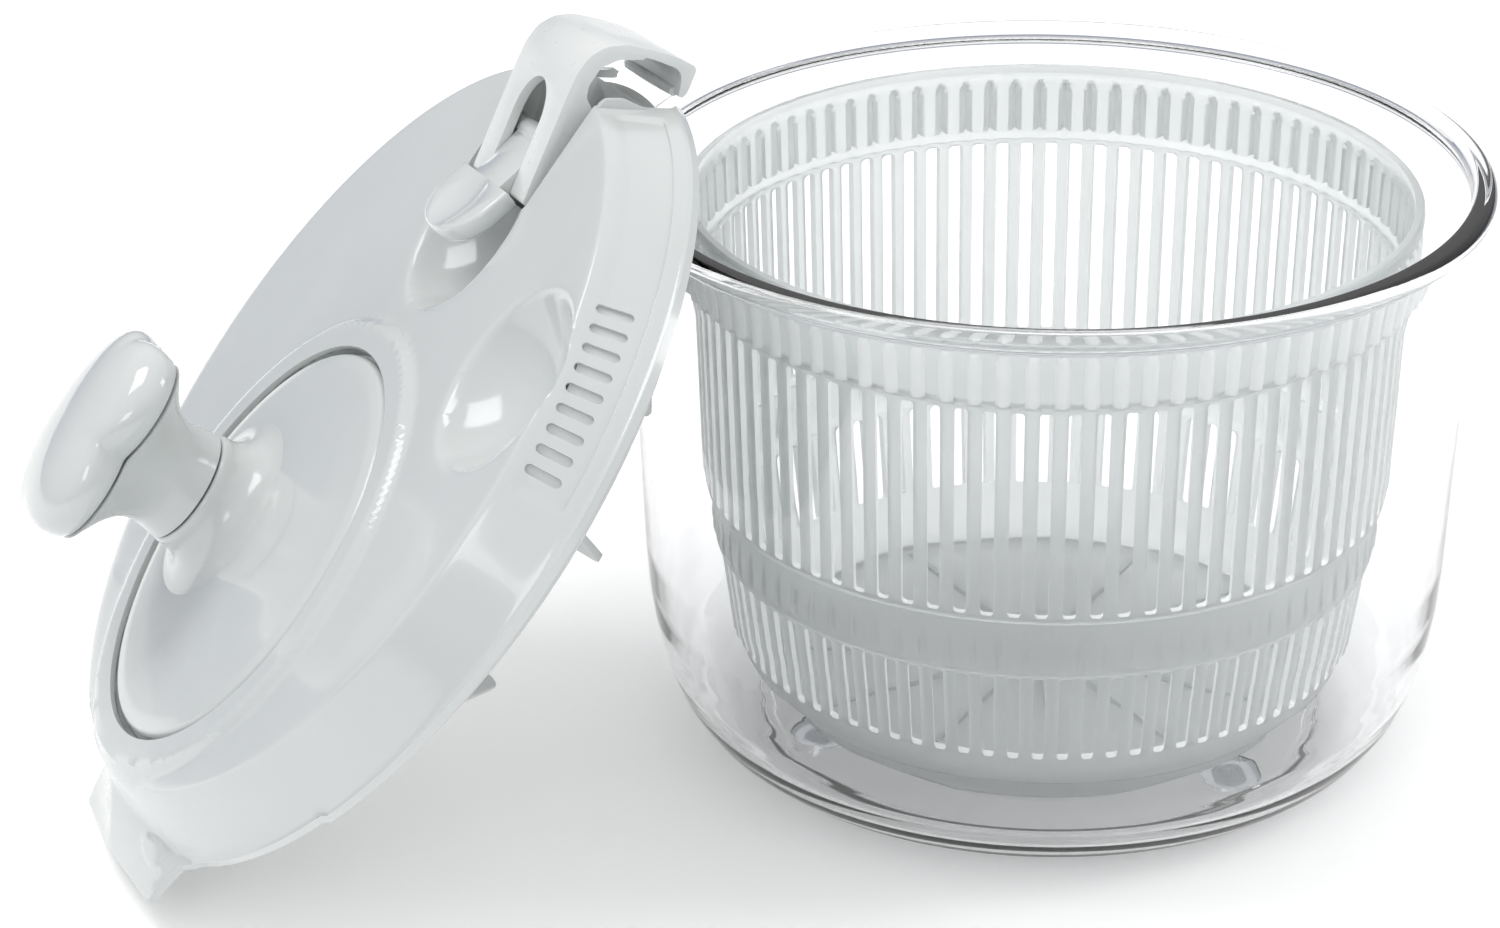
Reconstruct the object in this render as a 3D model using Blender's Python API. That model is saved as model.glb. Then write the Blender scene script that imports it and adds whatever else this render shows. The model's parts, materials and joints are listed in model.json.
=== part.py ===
"""Salad spinner: clear bowl, slotted basket, and the geared lid leaning on the bowl with its clip open.

Lengths are in metres, +Z is up and the table is z = 0. The bowl stands upright. The lid is drawn flat,
with its own +Z out of its top face and its +X towards the clip, and `lid_rig` leans it on the bowl.
"""

import math

import bmesh
import bpy
from mathutils import Matrix, Vector

MM = 0.001

# where the group stands, so that the middle of its outline is the origin
SHIFT = (84.976, 0.0)

# bowl
BOWL_R, BOWL_H = 125.0, 176.0
BOWL_STEPS = 48
FOOT_R, FOOT_AT = 8.7, 70.0
FOOT_ANGLES = (-56.0, 64.0, 184.0)

# basket
SLOTS_ROUND = 84
SLOT_WIDTH = 3.6
UPPER_SLOT, LOWER_SLOT = (82.0, 144.0), (33.5, 61.0)
STUD_R, STUD_TOP = 5.0, 26.0

# lid, flat: flange underside at z = 0
LID_TOP, LID_FLANGE_R, RIDGE_R = 22.0, 127.5, 116.0
LID_TILT, LID_SPIN = 50.2, 9.0
LID_CENTRE = (-191.5, 0.0, 107.5)
SPOUT_X, SPOUT_HALF = 135.7, 38.0
TIP_X = -281.112
COVER_R, COVER_Z = 110.0, -7.0
BOSSES = ((-69.0, 72.0), (-69.0, -72.0), (80.0, 58.0), (82.0, -58.0))
THUMB_DIMPLE = (66.0, 0.0, 27.0, 16.0)
SIDE_DIMPLE = (39.5, -80.9, 27.0, 14.0)
STRAINER_SLOTS, STRAINER_MID, STRAINER_PITCH = 9, -65.5, 2.9

# crank and knob
CRANK_X, DISC_R = -42.0, 60.9
KNOB_X, KNOB_Y = -41.0, 27.0

# gears: an internal ring under the crank drives the pinion in the middle of the lid
MODULE, RING_TEETH, PINION_TEETH = 1.75, 64, 16

# drive plate
PLATE_R, FINS, FIRST_FIN = 88.0, 8, -34.0

# clip
CLIP_OPEN = 12.0
CLIP_PIN = (84.0, 15.5)
LEVER_PIN = (97.0, 15.8)
LEVER_UP = 28.0
PAD_BACK, PAD_MIDDLE, PAD_REACH, PAD_HALF = -18.8, -24.8, 14.6, 19.4
DISH_R, DISH_Z, DISH_X = 36.0, 36.9, -28.6
CLIP_HALF = 23.0


def clear_scene():
    for obj in list(bpy.data.objects):
        bpy.data.objects.remove(obj, do_unlink=True)
    for coll in list(bpy.data.collections):
        bpy.data.collections.remove(coll)


def collection(name, hidden=False):
    coll = bpy.data.collections.new(name)
    bpy.context.scene.collection.children.link(coll)
    coll.hide_render = hidden
    return coll


def material(name, colour, rough, alpha=1.0, metal=0.0, transmission=0.0):
    mat = bpy.data.materials.new(name)
    mat.use_nodes = True
    shader = mat.node_tree.nodes["Principled BSDF"]
    shader.inputs["Base Color"].default_value = (*colour, 1.0)
    shader.inputs["Roughness"].default_value = rough
    shader.inputs["Metallic"].default_value = metal
    shader.inputs["Alpha"].default_value = alpha
    shader.inputs["Transmission Weight"].default_value = transmission
    return mat


def empty(name, matrix, parent=None):
    obj = bpy.data.objects.new(name, None)
    obj.empty_display_size = 0.02
    PART.objects.link(obj)
    obj.parent = parent
    obj.matrix_local = matrix
    return obj


def from_bmesh(name, bm, mat=None, parent=None):
    mesh = bpy.data.meshes.new(name)
    bm.to_mesh(mesh)
    bm.free()
    obj = bpy.data.objects.new(name, mesh)
    if mat is None:
        CUT.objects.link(obj)
        obj.hide_render = True
        obj.display_type = "WIRE"
    else:
        PART.objects.link(obj)
        mesh.materials.append(mat)
    obj.parent = parent
    return obj


def turned(name, profile, steps, mat=None, parent=None, at=(0.0, 0.0)):
    """A solid of revolution: the closed (r, z) outline in mm, top to bottom on its outer side."""
    bm = bmesh.new()
    verts = [bm.verts.new((r * MM, 0.0, z * MM)) for r, z in profile]
    edges = [bm.edges.new(pair) for pair in zip(verts, verts[1:])]
    if profile[0][0] > 0.0:
        edges.append(bm.edges.new((verts[-1], verts[0])))
    bmesh.ops.spin(bm, geom=verts + edges, cent=(0, 0, 0), axis=(0, 0, 1), steps=steps,
                   angle=math.tau, use_merge=True, use_duplicate=False)
    bmesh.ops.remove_doubles(bm, verts=bm.verts, dist=1e-5)
    bmesh.ops.recalc_face_normals(bm, faces=bm.faces)
    bmesh.ops.translate(bm, verts=bm.verts, vec=(at[0] * MM, at[1] * MM, 0.0))
    return from_bmesh(name, bm, mat, parent)


def prism(name, outline, low, high, mat=None, parent=None, turn=None):
    """A closed (x, y) outline in mm, drawn anticlockwise, raised from z = low to z = high."""
    bm = bmesh.new()
    face = bm.faces.new([bm.verts.new((x * MM, y * MM, low * MM)) for x, y in outline])
    up = bmesh.ops.extrude_face_region(bm, geom=[face])
    moved = [v for v in up["geom"] if isinstance(v, bmesh.types.BMVert)]
    bmesh.ops.translate(bm, verts=moved, vec=(0.0, 0.0, (high - low) * MM))
    bmesh.ops.recalc_face_normals(bm, faces=bm.faces)
    if turn is not None:
        bmesh.ops.transform(bm, matrix=turn, verts=bm.verts)
    return from_bmesh(name, bm, mat, parent)


def rod(name, radius, low, high, steps=24, mat=None, parent=None, at=(0.0, 0.0)):
    return turned(name, [(0, high), (radius, high), (radius, low), (0, low)], steps, mat, parent, at)


def box(name, lo, hi, mat=None, parent=None):
    outline = [(lo[0], lo[1]), (hi[0], lo[1]), (hi[0], hi[1]), (lo[0], hi[1])]
    return prism(name, outline, lo[2], hi[2], mat, parent)


def side_on(centre_y=0.0):
    """Stands a prism drawn in (x, z) up, so that its height runs along Y."""
    return Matrix.Translation((0, centre_y * MM, 0)) @ Matrix.Rotation(math.radians(90), 4, "X")


def combine(obj, other, how):
    mod = obj.modifiers.new(f"{how.lower()}_{other.name}", "BOOLEAN")
    mod.operation = how
    mod.object = other
    mod.solver = "EXACT"


def add(obj, *others):
    for other in others:
        combine(obj, other, "UNION")


def cut(obj, *others):
    for other in others:
        combine(obj, other, "DIFFERENCE")


def on_circle(radius, degrees):
    a = math.radians(degrees)
    return radius * math.cos(a), radius * math.sin(a)


def superellipse(half_x, half_y, power, count):
    points = []
    for i in range(count):
        a = math.tau * i / count
        c, s = math.cos(a), math.sin(a)
        points.append((half_x * math.copysign(abs(c) ** (2 / power), c),
                       half_y * math.copysign(abs(s) ** (2 / power), s)))
    return points


def lofted(name, rings, mat=None, parent=None, at=(0.0, 0.0)):
    """A solid through closed sections (z, [(x, y)...]) with the same number of points, bottom first."""
    bm = bmesh.new()
    loops = [[bm.verts.new(((x + at[0]) * MM, (y + at[1]) * MM, z * MM)) for x, y in ring]
             for z, ring in rings]
    bm.faces.new(loops[0][::-1])
    bm.faces.new(loops[-1])
    for low, high in zip(loops, loops[1:]):
        n = len(low)
        for i in range(n):
            j = (i + 1) % n
            bm.faces.new((low[i], low[j], high[j], high[i]))
    bmesh.ops.recalc_face_normals(bm, faces=bm.faces)
    bmesh.ops.triangulate(bm, faces=[f for f in bm.faces if len(f.verts) == 4])
    return from_bmesh(name, bm, mat, parent)


# ---------------------------------------------------------------- bowl and basket


def build_bowl(parent):
    outer = [(117.9, 174.8), (119.0, BOWL_H), (123.4, BOWL_H), (BOWL_R, 174.4), (BOWL_R, 171.6),
             (123.8, 170.4), (120.9, 169.8), (119.4, 110.0), (117.6, 62.0),
             (115.2, 38.0), (111.0, 20.0), (104.5, 9.6), (95.0, 4.0), (84.0, 0.9), (0.0, 0.9)]
    inner = [(0.0, STUD_TOP), (STUD_R - 1.2, STUD_TOP), (STUD_R, STUD_TOP - 1.2), (STUD_R, 8.0),
             (9.0, 4.4), (86.0, 4.6), (93.5, 6.8), (102.6, 12.4),
             (108.4, 21.6), (112.6, 38.6), (115.0, 62.2), (116.8, 110.0)]
    outline = inner + [outer[0]] + outer[1:]
    bowl = turned("bowl", outline, BOWL_STEPS, CLEAR, parent)
    for i, angle in enumerate(FOOT_ANGLES, 1):
        at = on_circle(FOOT_AT, angle)
        cut(bowl, rod(f"cut_foot_{i}", FOOT_R + 0.3, -1.0, 2.7, 24, None, parent, at))
        turned(f"foot_{i}", [(0, 2.4), (FOOT_R, 2.4), (FOOT_R, 0.7), (FOOT_R - 0.7, 0), (0, 0)],
               24, FOOT, parent, at)


def build_basket(parent):
    """The wall has one flat for each two slots. The hub under the floor turns on the bowl's stud."""
    outer = [(105.4, 168.0), (105.4, 163.4), (104.0, 162.6), (103.4, 146.2),
             (101.6, 145.0), (99.6, 81.0), (97.6, 79.4), (97.0, 63.0), (95.4, 61.6), (91.6, 33.0),
             (86.4, 23.4), (79.2, 19.0), (79.0, 15.0), (76.6, 15.0), (76.4, 18.2),
             (9.8, 18.2), (9.2, 14.0), (5.35, 14.0), (5.35, STUD_TOP + 0.3), (0.0, STUD_TOP + 0.3)]
    inner = [(0.0, 29.0), (9.6, 29.0), (11.4, 20.4), (80.6, 20.6), (89.6, 33.6),
             (93.4, 62.0), (95.0, 63.4), (95.6, 79.8), (97.6, 81.4), (99.6, 145.4), (101.4, 146.8),
             (102.2, 168.0)]
    basket = turned("basket", inner + outer, SLOTS_ROUND // 2, FROSTED, parent)
    bm = bmesh.new()
    for (low, high), radius, deep, lean in ((UPPER_SLOT, 99.6, 9.0, 0.032), (LOWER_SLOT, 92.6, 9.0, 0.134)):
        for i in range(SLOTS_ROUND):
            flat = math.tau * (i // 2 + 0.5) / (SLOTS_ROUND // 2)
            aside = (0.25 if i % 2 else -0.25) * math.tau * radius / (SLOTS_ROUND // 2)
            spot = (Matrix.Rotation(flat, 4, "Z")
                    @ Matrix.Translation((radius * MM, aside * MM, (low + high) / 2 * MM))
                    @ Matrix.Rotation(lean, 4, "Y")
                    @ Matrix.Diagonal((deep * MM, SLOT_WIDTH * MM, (high - low) * MM, 1.0)))
            bmesh.ops.create_cube(bm, size=1.0, matrix=spot)
    cut(basket, from_bmesh("cut_slots", bm, None, parent))


# ---------------------------------------------------------------- lid


def cap_of_sphere(name, x, y, radius, depth, extra, low, high, parent):
    """The part of a hollow's sphere between two heights; `extra` is its wall's thickness."""
    ball = (radius ** 2 + depth ** 2) / (2 * depth)
    centre = LID_TOP - depth + ball
    ball += extra
    profile = [(0.0, high)]
    for i in range(9):
        z = high + (max(low, centre - ball) - high) * (i / 8) ** 0.8
        profile.append((math.sqrt(max(ball ** 2 - (z - centre) ** 2, 0.0)), z))
    if profile[-1][0] > 0.05:
        profile.append((0.0, profile[-1][1]))
    else:
        profile[-1] = (0.0, profile[-1][1])
    return turned(name, profile, 24, None, parent, (x, y))


def build_lid_shell(rig):
    outline = [(0.0, 22.0), (112.6, 22.0), (115.0, 21.6), (RIDGE_R, 20.8), (124.0, 6.4), (124.7, 3.2),
               (127.0, 2.8), (LID_FLANGE_R, 2.2), (LID_FLANGE_R, 0.3), (127.0, 0.0), (116.0, 0.0),
               (115.8, -7.0), (113.6, -7.0), (113.6, 1.0), (120.6, 3.6), (121.0, 5.6),
               (113.6, 18.8), (112.0, 19.7), (0.0, 19.7)]
    lid = turned("lid_shell", outline, 48, WHITE, rig)
    crank = (CRANK_X, 0.0)
    add(lid, turned("add_ring", [(0.0, 24.2), (70.4, 24.2), (71.6, 23.4), (73.2, 22.4), (75.4, 21.6),
                                 (75.0, 20.4), (64.6, 20.0), (64.6, 16.8), (0.0, 16.8)],
                    36, None, rig, crank))
    spout = [(-112.0, -39.0), (-117.0, -43.0), (-SPOUT_X + 1.6, -SPOUT_HALF), (-SPOUT_X, -SPOUT_HALF + 1.4),
             (-SPOUT_X, SPOUT_HALF - 1.4), (-SPOUT_X + 1.6, SPOUT_HALF), (-117.0, 43.0), (-112.0, 39.0)]
    add(lid, lofted("add_spout", [(0.2, [(x, y) for x, y in spout[::1]]),
                                  (3.0, [(x * 0.999, y) for x, y in spout]),
                                  (12.0, [(x * 0.90 - 3.0, y * 0.52) for x, y in spout])], None, rig))
    for name, spec, extra in (("thumb", THUMB_DIMPLE, 1.9), ("side", SIDE_DIMPLE, 1.9)):
        add(lid, cap_of_sphere(f"add_{name}", *spec, extra, -20.0, LID_TOP - 1.2, rig))
    add(lid, prism("add_tub", [(75.0, -29.0), (118.0, -29.0), (118.0, 29.0), (75.0, 29.0)], 3.6, 20.8,
                   None, rig))
    for i, spot in enumerate(BOSSES, 1):
        add(lid, rod(f"add_boss_{i}", 4.6, -1.2, 20.6, 14, None, rig, spot))

    cut(lid, rod("cut_recess", 62.4, 19.0, 30.0, 36, None, rig, crank))
    cut(lid, rod("cut_opening", 46.6, 10.0, 21.0, 36, None, rig, crank))
    cut(lid, cap_of_sphere("cut_thumb", *THUMB_DIMPLE, 0.0, -20.0, LID_TOP + 3.0, rig))
    cut(lid, cap_of_sphere("cut_side", *SIDE_DIMPLE, 0.0, -20.0, LID_TOP + 3.0, rig))
    cut(lid, box("cut_tub", (77.2, -26.4, 5.8), (134.0, 26.4, 30.0), None, rig))
    cut(lid, box("cut_notch", (120.4, -26.4, -2.0), (134.0, 26.4, 8.0), None, rig))
    for i, spot in enumerate(BOSSES, 1):
        cut(lid, rod(f"cut_boss_{i}", 1.75, -3.0, 9.4, 10, None, rig, spot))
    for i, side in enumerate((-1, 1), 1):
        hole = prism(f"cut_pin_{i}", [(CLIP_PIN[0] + x, CLIP_PIN[1] + z)
                                      for x, z in superellipse(1.75, 1.75, 2.0, 16)], -1.5, 1.5,
                     None, rig, side_on(side * 26.6))
        cut(lid, hole)
    bm = bmesh.new()
    slope = math.atan2(14.4, 8.0)
    for i in range(STRAINER_SLOTS):
        angle = math.radians(STRAINER_MID + (i - (STRAINER_SLOTS - 1) / 2) * STRAINER_PITCH)
        spot = (Matrix.Rotation(angle, 4, "Z") @ Matrix.Translation((119.9 * MM, 0.0, 13.6 * MM))
                @ Matrix.Rotation(slope, 4, "Y") @ Matrix.Diagonal((11.0 * MM, 3.0 * MM, 7.4 * MM, 1.0)))
        bmesh.ops.create_cube(bm, size=1.0, matrix=spot)
    cut(lid, from_bmesh("cut_strainer", bm, None, rig))


def build_cover(rig):
    cover = turned("gear_cover", [(7.25, 4.4), (10.0, 4.4), (10.0, -5.0), (107.8, -5.0), (107.8, -1.0),
                                  (COVER_R, -1.0), (COVER_R, COVER_Z), (7.25, COVER_Z)], 40, WHITE, rig)
    for i, spot in enumerate(BOSSES, 1):
        add(cover, rod(f"add_seat_{i}", 6.6, -6.0, -1.5, 16, None, rig, spot))
        cut(cover, turned(f"cut_seat_{i}", [(0, 1.0), (1.9, 1.0), (1.9, -4.2), (3.7, -4.2), (3.7, -9.0),
                                            (0, -9.0)], 12, None, rig, spot))
        turned(f"cover_screw_{i}", [(0, 8.4), (1.0, 8.4), (1.5, 7.4), (1.5, -4.5), (3.4, -4.5),
                                    (3.4, -6.2), (2.9, -6.7), (0, -6.7)], 12, STEEL, rig, spot)


def build_crank(rig):
    disc = turned("crank_disc", [(0.0, 24.6), (57.8, 24.6), (60.2, 23.8), (DISC_R, 22.2), (DISC_R, 19.5),
                                 (58.8, 19.5), (58.8, 21.0), (57.6, 22.0), (45.4, 22.0), (45.4, 15.9),
                                 (42.8, 15.9), (42.8, 22.0), (0.0, 22.0)], 40, WHITE, rig)
    post = (KNOB_X - CRANK_X, KNOB_Y)
    flare = [(0.0, 37.0), (15.6, 37.0), (17.0, 36.2), (17.2, 34.6), (18.4, 31.0), (20.8, 28.2),
             (24.6, 26.0), (30.0, 24.5), (30.0, 23.4), (0.0, 23.4)]
    add(disc, turned("add_post", flare, 24, None, rig, post))
    cut(disc, rod("cut_post", 12.0, 20.0, 31.0, 28, None, rig, post))
    cut(disc, rod("cut_axle", 2.6, 25.0, 40.0, 20, None, rig, post))
    spots = [on_circle(38.4, a) for a in (-85.0, 14.0, 167.0)]
    gear = toothed_ring("ring_gear", 60.2, 5.0, 15.5, 13.4, rig)
    for i, spot in enumerate(spots, 1):
        add(disc, rod(f"add_stub_{i}", 4.0, 15.9, 22.6, 16, None, rig, spot))
        cut(disc, rod(f"cut_stub_{i}", 1.6, 10.0, 21.6, 12, None, rig, spot))
        cut(gear, rod(f"cut_gear_{i}", 1.8, 10.0, 20.0, 12, None, rig, spot))
        turned(f"crank_screw_{i}", [(0, 20.6), (1.3, 20.6), (1.3, 13.2), (3.0, 13.2), (3.0, 11.9),
                                    (2.5, 11.4), (0, 11.4)], 12, STEEL, rig, spot)
    turned("knob_axle", [(0, 61.0), (5.6, 61.0), (6.4, 60.2), (6.4, 58.6), (4.0, 58.6), (4.0, 37.2),
                         (2.4, 37.2), (2.4, 31.4), (0, 31.4)], 28, STEEL, rig, post)


def tooth_points(teeth, root, tip, root_share, tip_share, phase=0.0):
    """A gear's outline: each tooth is a trapezium with these shares of the pitch at its root and tip."""
    points = []
    step = math.tau / teeth
    for i in range(teeth):
        mid = step * i + phase
        for radius, at in ((root, -root_share), (tip, -tip_share), (tip, tip_share), (root, root_share)):
            a = mid + at * step / 2
            points.append((radius * math.cos(a), radius * math.sin(a)))
    return points


def toothed_ring(name, outer, low, high, web, rig):
    """The crank's gear: a flat web on top and a wall with inward teeth below it."""
    pitch = MODULE * RING_TEETH / 2
    teeth = tooth_points(RING_TEETH, pitch + 1.25 * MODULE, pitch - 0.9 * MODULE, 0.66, 0.30)
    body = rod(name, outer, low, high, RING_TEETH, WHITE, rig)
    hollow = prism(f"cut_{name}", teeth, low - 2.0, web, None, rig)
    cut(body, hollow)
    return body


def build_drive(rig):
    pitch = MODULE * PINION_TEETH / 2
    teeth = tooth_points(PINION_TEETH, pitch - 1.25 * MODULE, pitch + 0.9 * MODULE, 0.70, 0.26,
                         math.tau / PINION_TEETH / 2)
    pinion = prism("drive_pinion", teeth, 5.0, 10.6, ACETAL, rig)
    add(pinion, rod("add_shaft", 7.0, -7.3, 6.0, 36, None, rig))
    add(pinion, box("add_square", (-4.0, -4.0, -9.9), (4.0, 4.0, -6.5), None, rig))
    cut(pinion, rod("cut_pinion", 2.2, -12.0, 3.0, 16, None, rig))
    plate = rod("drive_plate", PLATE_R, -10.2, -7.6, 48, WHITE, rig)
    cut(plate, box("cut_square", (-4.3, -4.3, -14.0), (4.3, 4.3, 0.0), None, rig))
    for i in range(FINS):
        fin = [(58.0, -8.6), (58.0, -12.4), (59.4, -37.8), (60.8, -40.0), (62.4, -40.0), (90.8, -15.4),
               (91.0, -11.6), (90.2, -9.2), (86.0, -8.6)]
        turn = Matrix.Rotation(math.radians(FIRST_FIN - 360.0 / FINS * i), 4, "Z") @ side_on()
        add(plate, prism(f"add_fin_{i + 1}", fin, -1.3, 1.3, None, rig, turn))
    turned("drive_screw", [(0, 2.0), (1.9, 2.0), (1.9, -10.5), (6.6, -10.5), (6.6, -11.6), (5.6, -12.4),
                           (0, -12.4)], 24, STEEL, rig)


def build_knob(rig):
    """The stem is round at the bottom and oval where it meets the cap, which is a soft pillow."""
    count = 36
    stem = [(37.7, 16.8, 16.8, 2.0), (40.0, 16.5, 16.5, 2.0), (46.0, 16.2, 15.8, 2.0),
            (52.0, 18.2, 16.6, 2.1), (57.0, 22.4, 18.6, 2.2), (61.0, 26.6, 20.8, 2.3), (63.4, 28.6, 22.0, 2.4)]
    body = lofted("knob_stem", [(z, superellipse(a, b, p, count)) for z, a, b, p in stem], WHITE, rig)
    cut(body, turned("cut_stem", [(0, 70), (7.2, 70), (7.2, 58.3), (4.2, 58.3), (4.2, 30), (0, 30)],
                     28, None, rig))
    cap = [(63.7, 28.7, 22.1, 2.4), (66.4, 30.0, 23.4, 2.4), (70.4, 30.2, 23.8, 2.4),
           (74.2, 27.8, 21.8, 2.3), (76.8, 22.6, 17.6, 2.2), (78.2, 14.6, 11.4, 2.1), (78.8, 6.0, 4.8, 2.0)]
    lofted("knob_cap", [(z, superellipse(a, b, p, count)) for z, a, b, p in cap], GLOSS, rig)


def build_clip(rig, lid):
    """The frame is drawn closed and `clip_rig` opens it. Its hook would go under the bowl's rim."""
    px, pz = CLIP_PIN
    side = [(80.2, 22.6), (121.0, 22.6), (126.6, 20.6), (130.8, 15.0), (132.6, 6.0), (133.2, -2.0),
            (132.8, -8.4), (131.6, -9.2), (125.0, -9.2), (123.4, -8.4), (123.4, -7.2), (129.6, -6.2),
            (130.8, -4.6), (130.0, 5.6), (128.4, 13.4), (124.6, 18.0), (120.0, 20.0), (80.2, 20.0)]
    frame = prism("clip_frame", [(x - px, z - pz) for x, z in side[::-1]], -CLIP_HALF, CLIP_HALF,
                  WHITE, rig, side_on())
    leg = [(80.2, 21.0), (80.2, 12.4), (82.0, 11.0), (88.0, 11.0), (100.0, 12.6), (112.0, 13.0),
           (123.0, 8.4), (129.9, 6.4), (128.2, 14.0), (124.4, 19.0), (120.0, 21.0)]
    for i, y in enumerate((-1, 1), 1):
        add(frame, prism(f"add_leg_{i}", [(x - px, z - pz) for x, z in leg], -1.25, 1.25, None, rig,
                         side_on(y * (CLIP_HALF - 1.3))))
    arch = [(76.0, -11.4), (104.0, -11.4), (109.4, -9.8), (112.8, -6.0), (114.0, 0.0), (112.8, 6.0),
            (109.4, 9.8), (104.0, 11.4), (76.0, 11.4)]
    cut(frame, prism("cut_arch", [(x - px, y) for x, y in arch[:]], 1.0, 12.0, None, rig))
    cut(frame, prism("cut_trunnion", superellipse(1.75, 1.75, 2.0, 16), -30.0, 30.0, None, rig, side_on()))
    lx, lz = LEVER_PIN[0] - px, LEVER_PIN[1] - pz
    cut(frame, prism("cut_lever_pin", [(lx + x, lz + z) for x, z in superellipse(1.6, 1.6, 2.0, 16)],
                     -30.0, 30.0, None, rig, side_on()))
    prism("lever_pin", [(lx + x, lz + z) for x, z in superellipse(1.5, 1.5, 2.0, 16)], -22.6, 22.6,
          STEEL, rig, side_on())
    for i, y in enumerate((-1, 1), 1):
        prism(f"clip_pin_{i}", [(px + x, pz + z) for x, z in superellipse(1.6, 1.6, 2.0, 16)],
              -4.6, 4.6, WHITE, lid, side_on(y * 23.2))


def pad_outline(inset, count=24):
    """Thumb pad seen from above: a round front and a straight back with square shoulders."""
    back = PAD_BACK - 0.3 * inset
    half = PAD_HALF - inset
    front = []
    for k in range(count + 1):
        t = math.pi * (0.5 + k / count)
        front.append((PAD_MIDDLE - (PAD_REACH - inset) * abs(math.cos(t)) ** 0.87,
                      math.copysign(half * abs(math.sin(t)) ** 0.87, math.sin(t))))
    return [(back, -half), (back, half)] + front


def build_lever(rig):
    """Thumb pad, neck and tongue on one barrel. The rig stands on the lever's own pin."""
    lx, lz = LEVER_PIN
    levels = ((-3.6, 2.0), (-2.4, 0.5), (1.6, 0.0), (2.6, 0.9))
    pad = lofted("thumb_lever", [(z, pad_outline(inset)) for z, inset in levels], GLOSS, rig)
    neck = [(72.0, 13.6), (93.6, 13.4), (96.0, 12.6), (103.6, 10.2), (105.2, 11.0), (104.6, 12.6),
            (100.0, 16.6), (98.6, 18.8), (93.0, 18.2), (84.0, 17.4), (72.0, 17.2)]
    add(pad, prism("add_neck", [(x - lx, z - lz) for x, z in neck], -10.8, 10.8, None, rig, side_on()))
    add(pad, prism("add_barrel", superellipse(3.4, 3.4, 2.0, 20), -19.6, 19.6, None, rig, side_on()))
    dish = turned("cut_dish", [(0.0, 16.0)] + [
        (math.sqrt(DISH_R ** 2 - (z - DISH_Z) ** 2), z) for z in (16.0, 8.0, 4.2, 3.0, 2.2, 1.5)
    ] + [(0.0, DISH_Z - DISH_R)], 28, None, rig, (DISH_X, 0.0))
    cut(pad, dish)
    cut(pad, prism("cut_barrel", superellipse(1.65, 1.65, 2.0, 16), -30.0, 30.0, None, rig, side_on()))


# ---------------------------------------------------------------- the whole

clear_scene()
PART = collection("salad_spinner")
CUT = collection("cutters", hidden=True)

CLEAR = material("clear_plastic", (0.93, 0.95, 0.97), 0.05, 0.35, 0.0, 0.6)
FROSTED = material("frosted_plastic", (0.86, 0.89, 0.88), 0.45, 0.7)
WHITE = material("white_plastic", (0.80, 0.82, 0.81), 0.18)
GLOSS = material("gloss_white_plastic", (0.80, 0.82, 0.81), 0.08)
ACETAL = material("gear_plastic", (0.72, 0.73, 0.70), 0.4)
STEEL = material("steel", (0.62, 0.62, 0.64), 0.25, 1.0, 1.0)
FOOT = material("foot_rubber", (0.72, 0.76, 0.80), 0.5, 0.8)

bowl_rig = empty("bowl_rig", Matrix.Translation((SHIFT[0] * MM, SHIFT[1] * MM, 0.0)))
lean = (Matrix.Translation(Vector(LID_CENTRE) * MM) @ Matrix.Rotation(math.radians(-LID_TILT), 4, "Y")
        @ Matrix.Rotation(math.radians(LID_SPIN), 4, "Z"))
tip_rig = empty("tip_rig", Matrix.Translation((TIP_X * MM, 0.0, 0.0)), bowl_rig)
lid_rig = empty("lid_rig", Matrix.Translation((-TIP_X * MM, 0.0, 0.0)) @ lean, tip_rig)
crank_rig = empty("crank_rig", Matrix.Translation((CRANK_X * MM, 0.0, 0.0)), lid_rig)
knob_rig = empty("knob_rig", Matrix.Translation((KNOB_X * MM, KNOB_Y * MM, 0.0)), lid_rig)
clip_rig = empty("clip_rig", Matrix.Translation((CLIP_PIN[0] * MM, 0.0, CLIP_PIN[1] * MM))
                 @ Matrix.Rotation(math.radians(-CLIP_OPEN), 4, "Y"), lid_rig)
lever_rig = empty("lever_rig", Matrix.Translation(((LEVER_PIN[0] - CLIP_PIN[0]) * MM, 0.0,
                                                   (LEVER_PIN[1] - CLIP_PIN[1]) * MM))
                  @ Matrix.Rotation(math.radians(LEVER_UP), 4, "Y"), clip_rig)

build_bowl(bowl_rig)
build_basket(bowl_rig)
build_lid_shell(lid_rig)
build_cover(lid_rig)
build_crank(crank_rig)
build_drive(lid_rig)
build_knob(knob_rig)
build_clip(clip_rig, lid_rig)
build_lever(lever_rig)
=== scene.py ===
"""Looks of the salad spinner: clear bowl, frosted basket and the glossy geared lid leaning on the bowl."""

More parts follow.
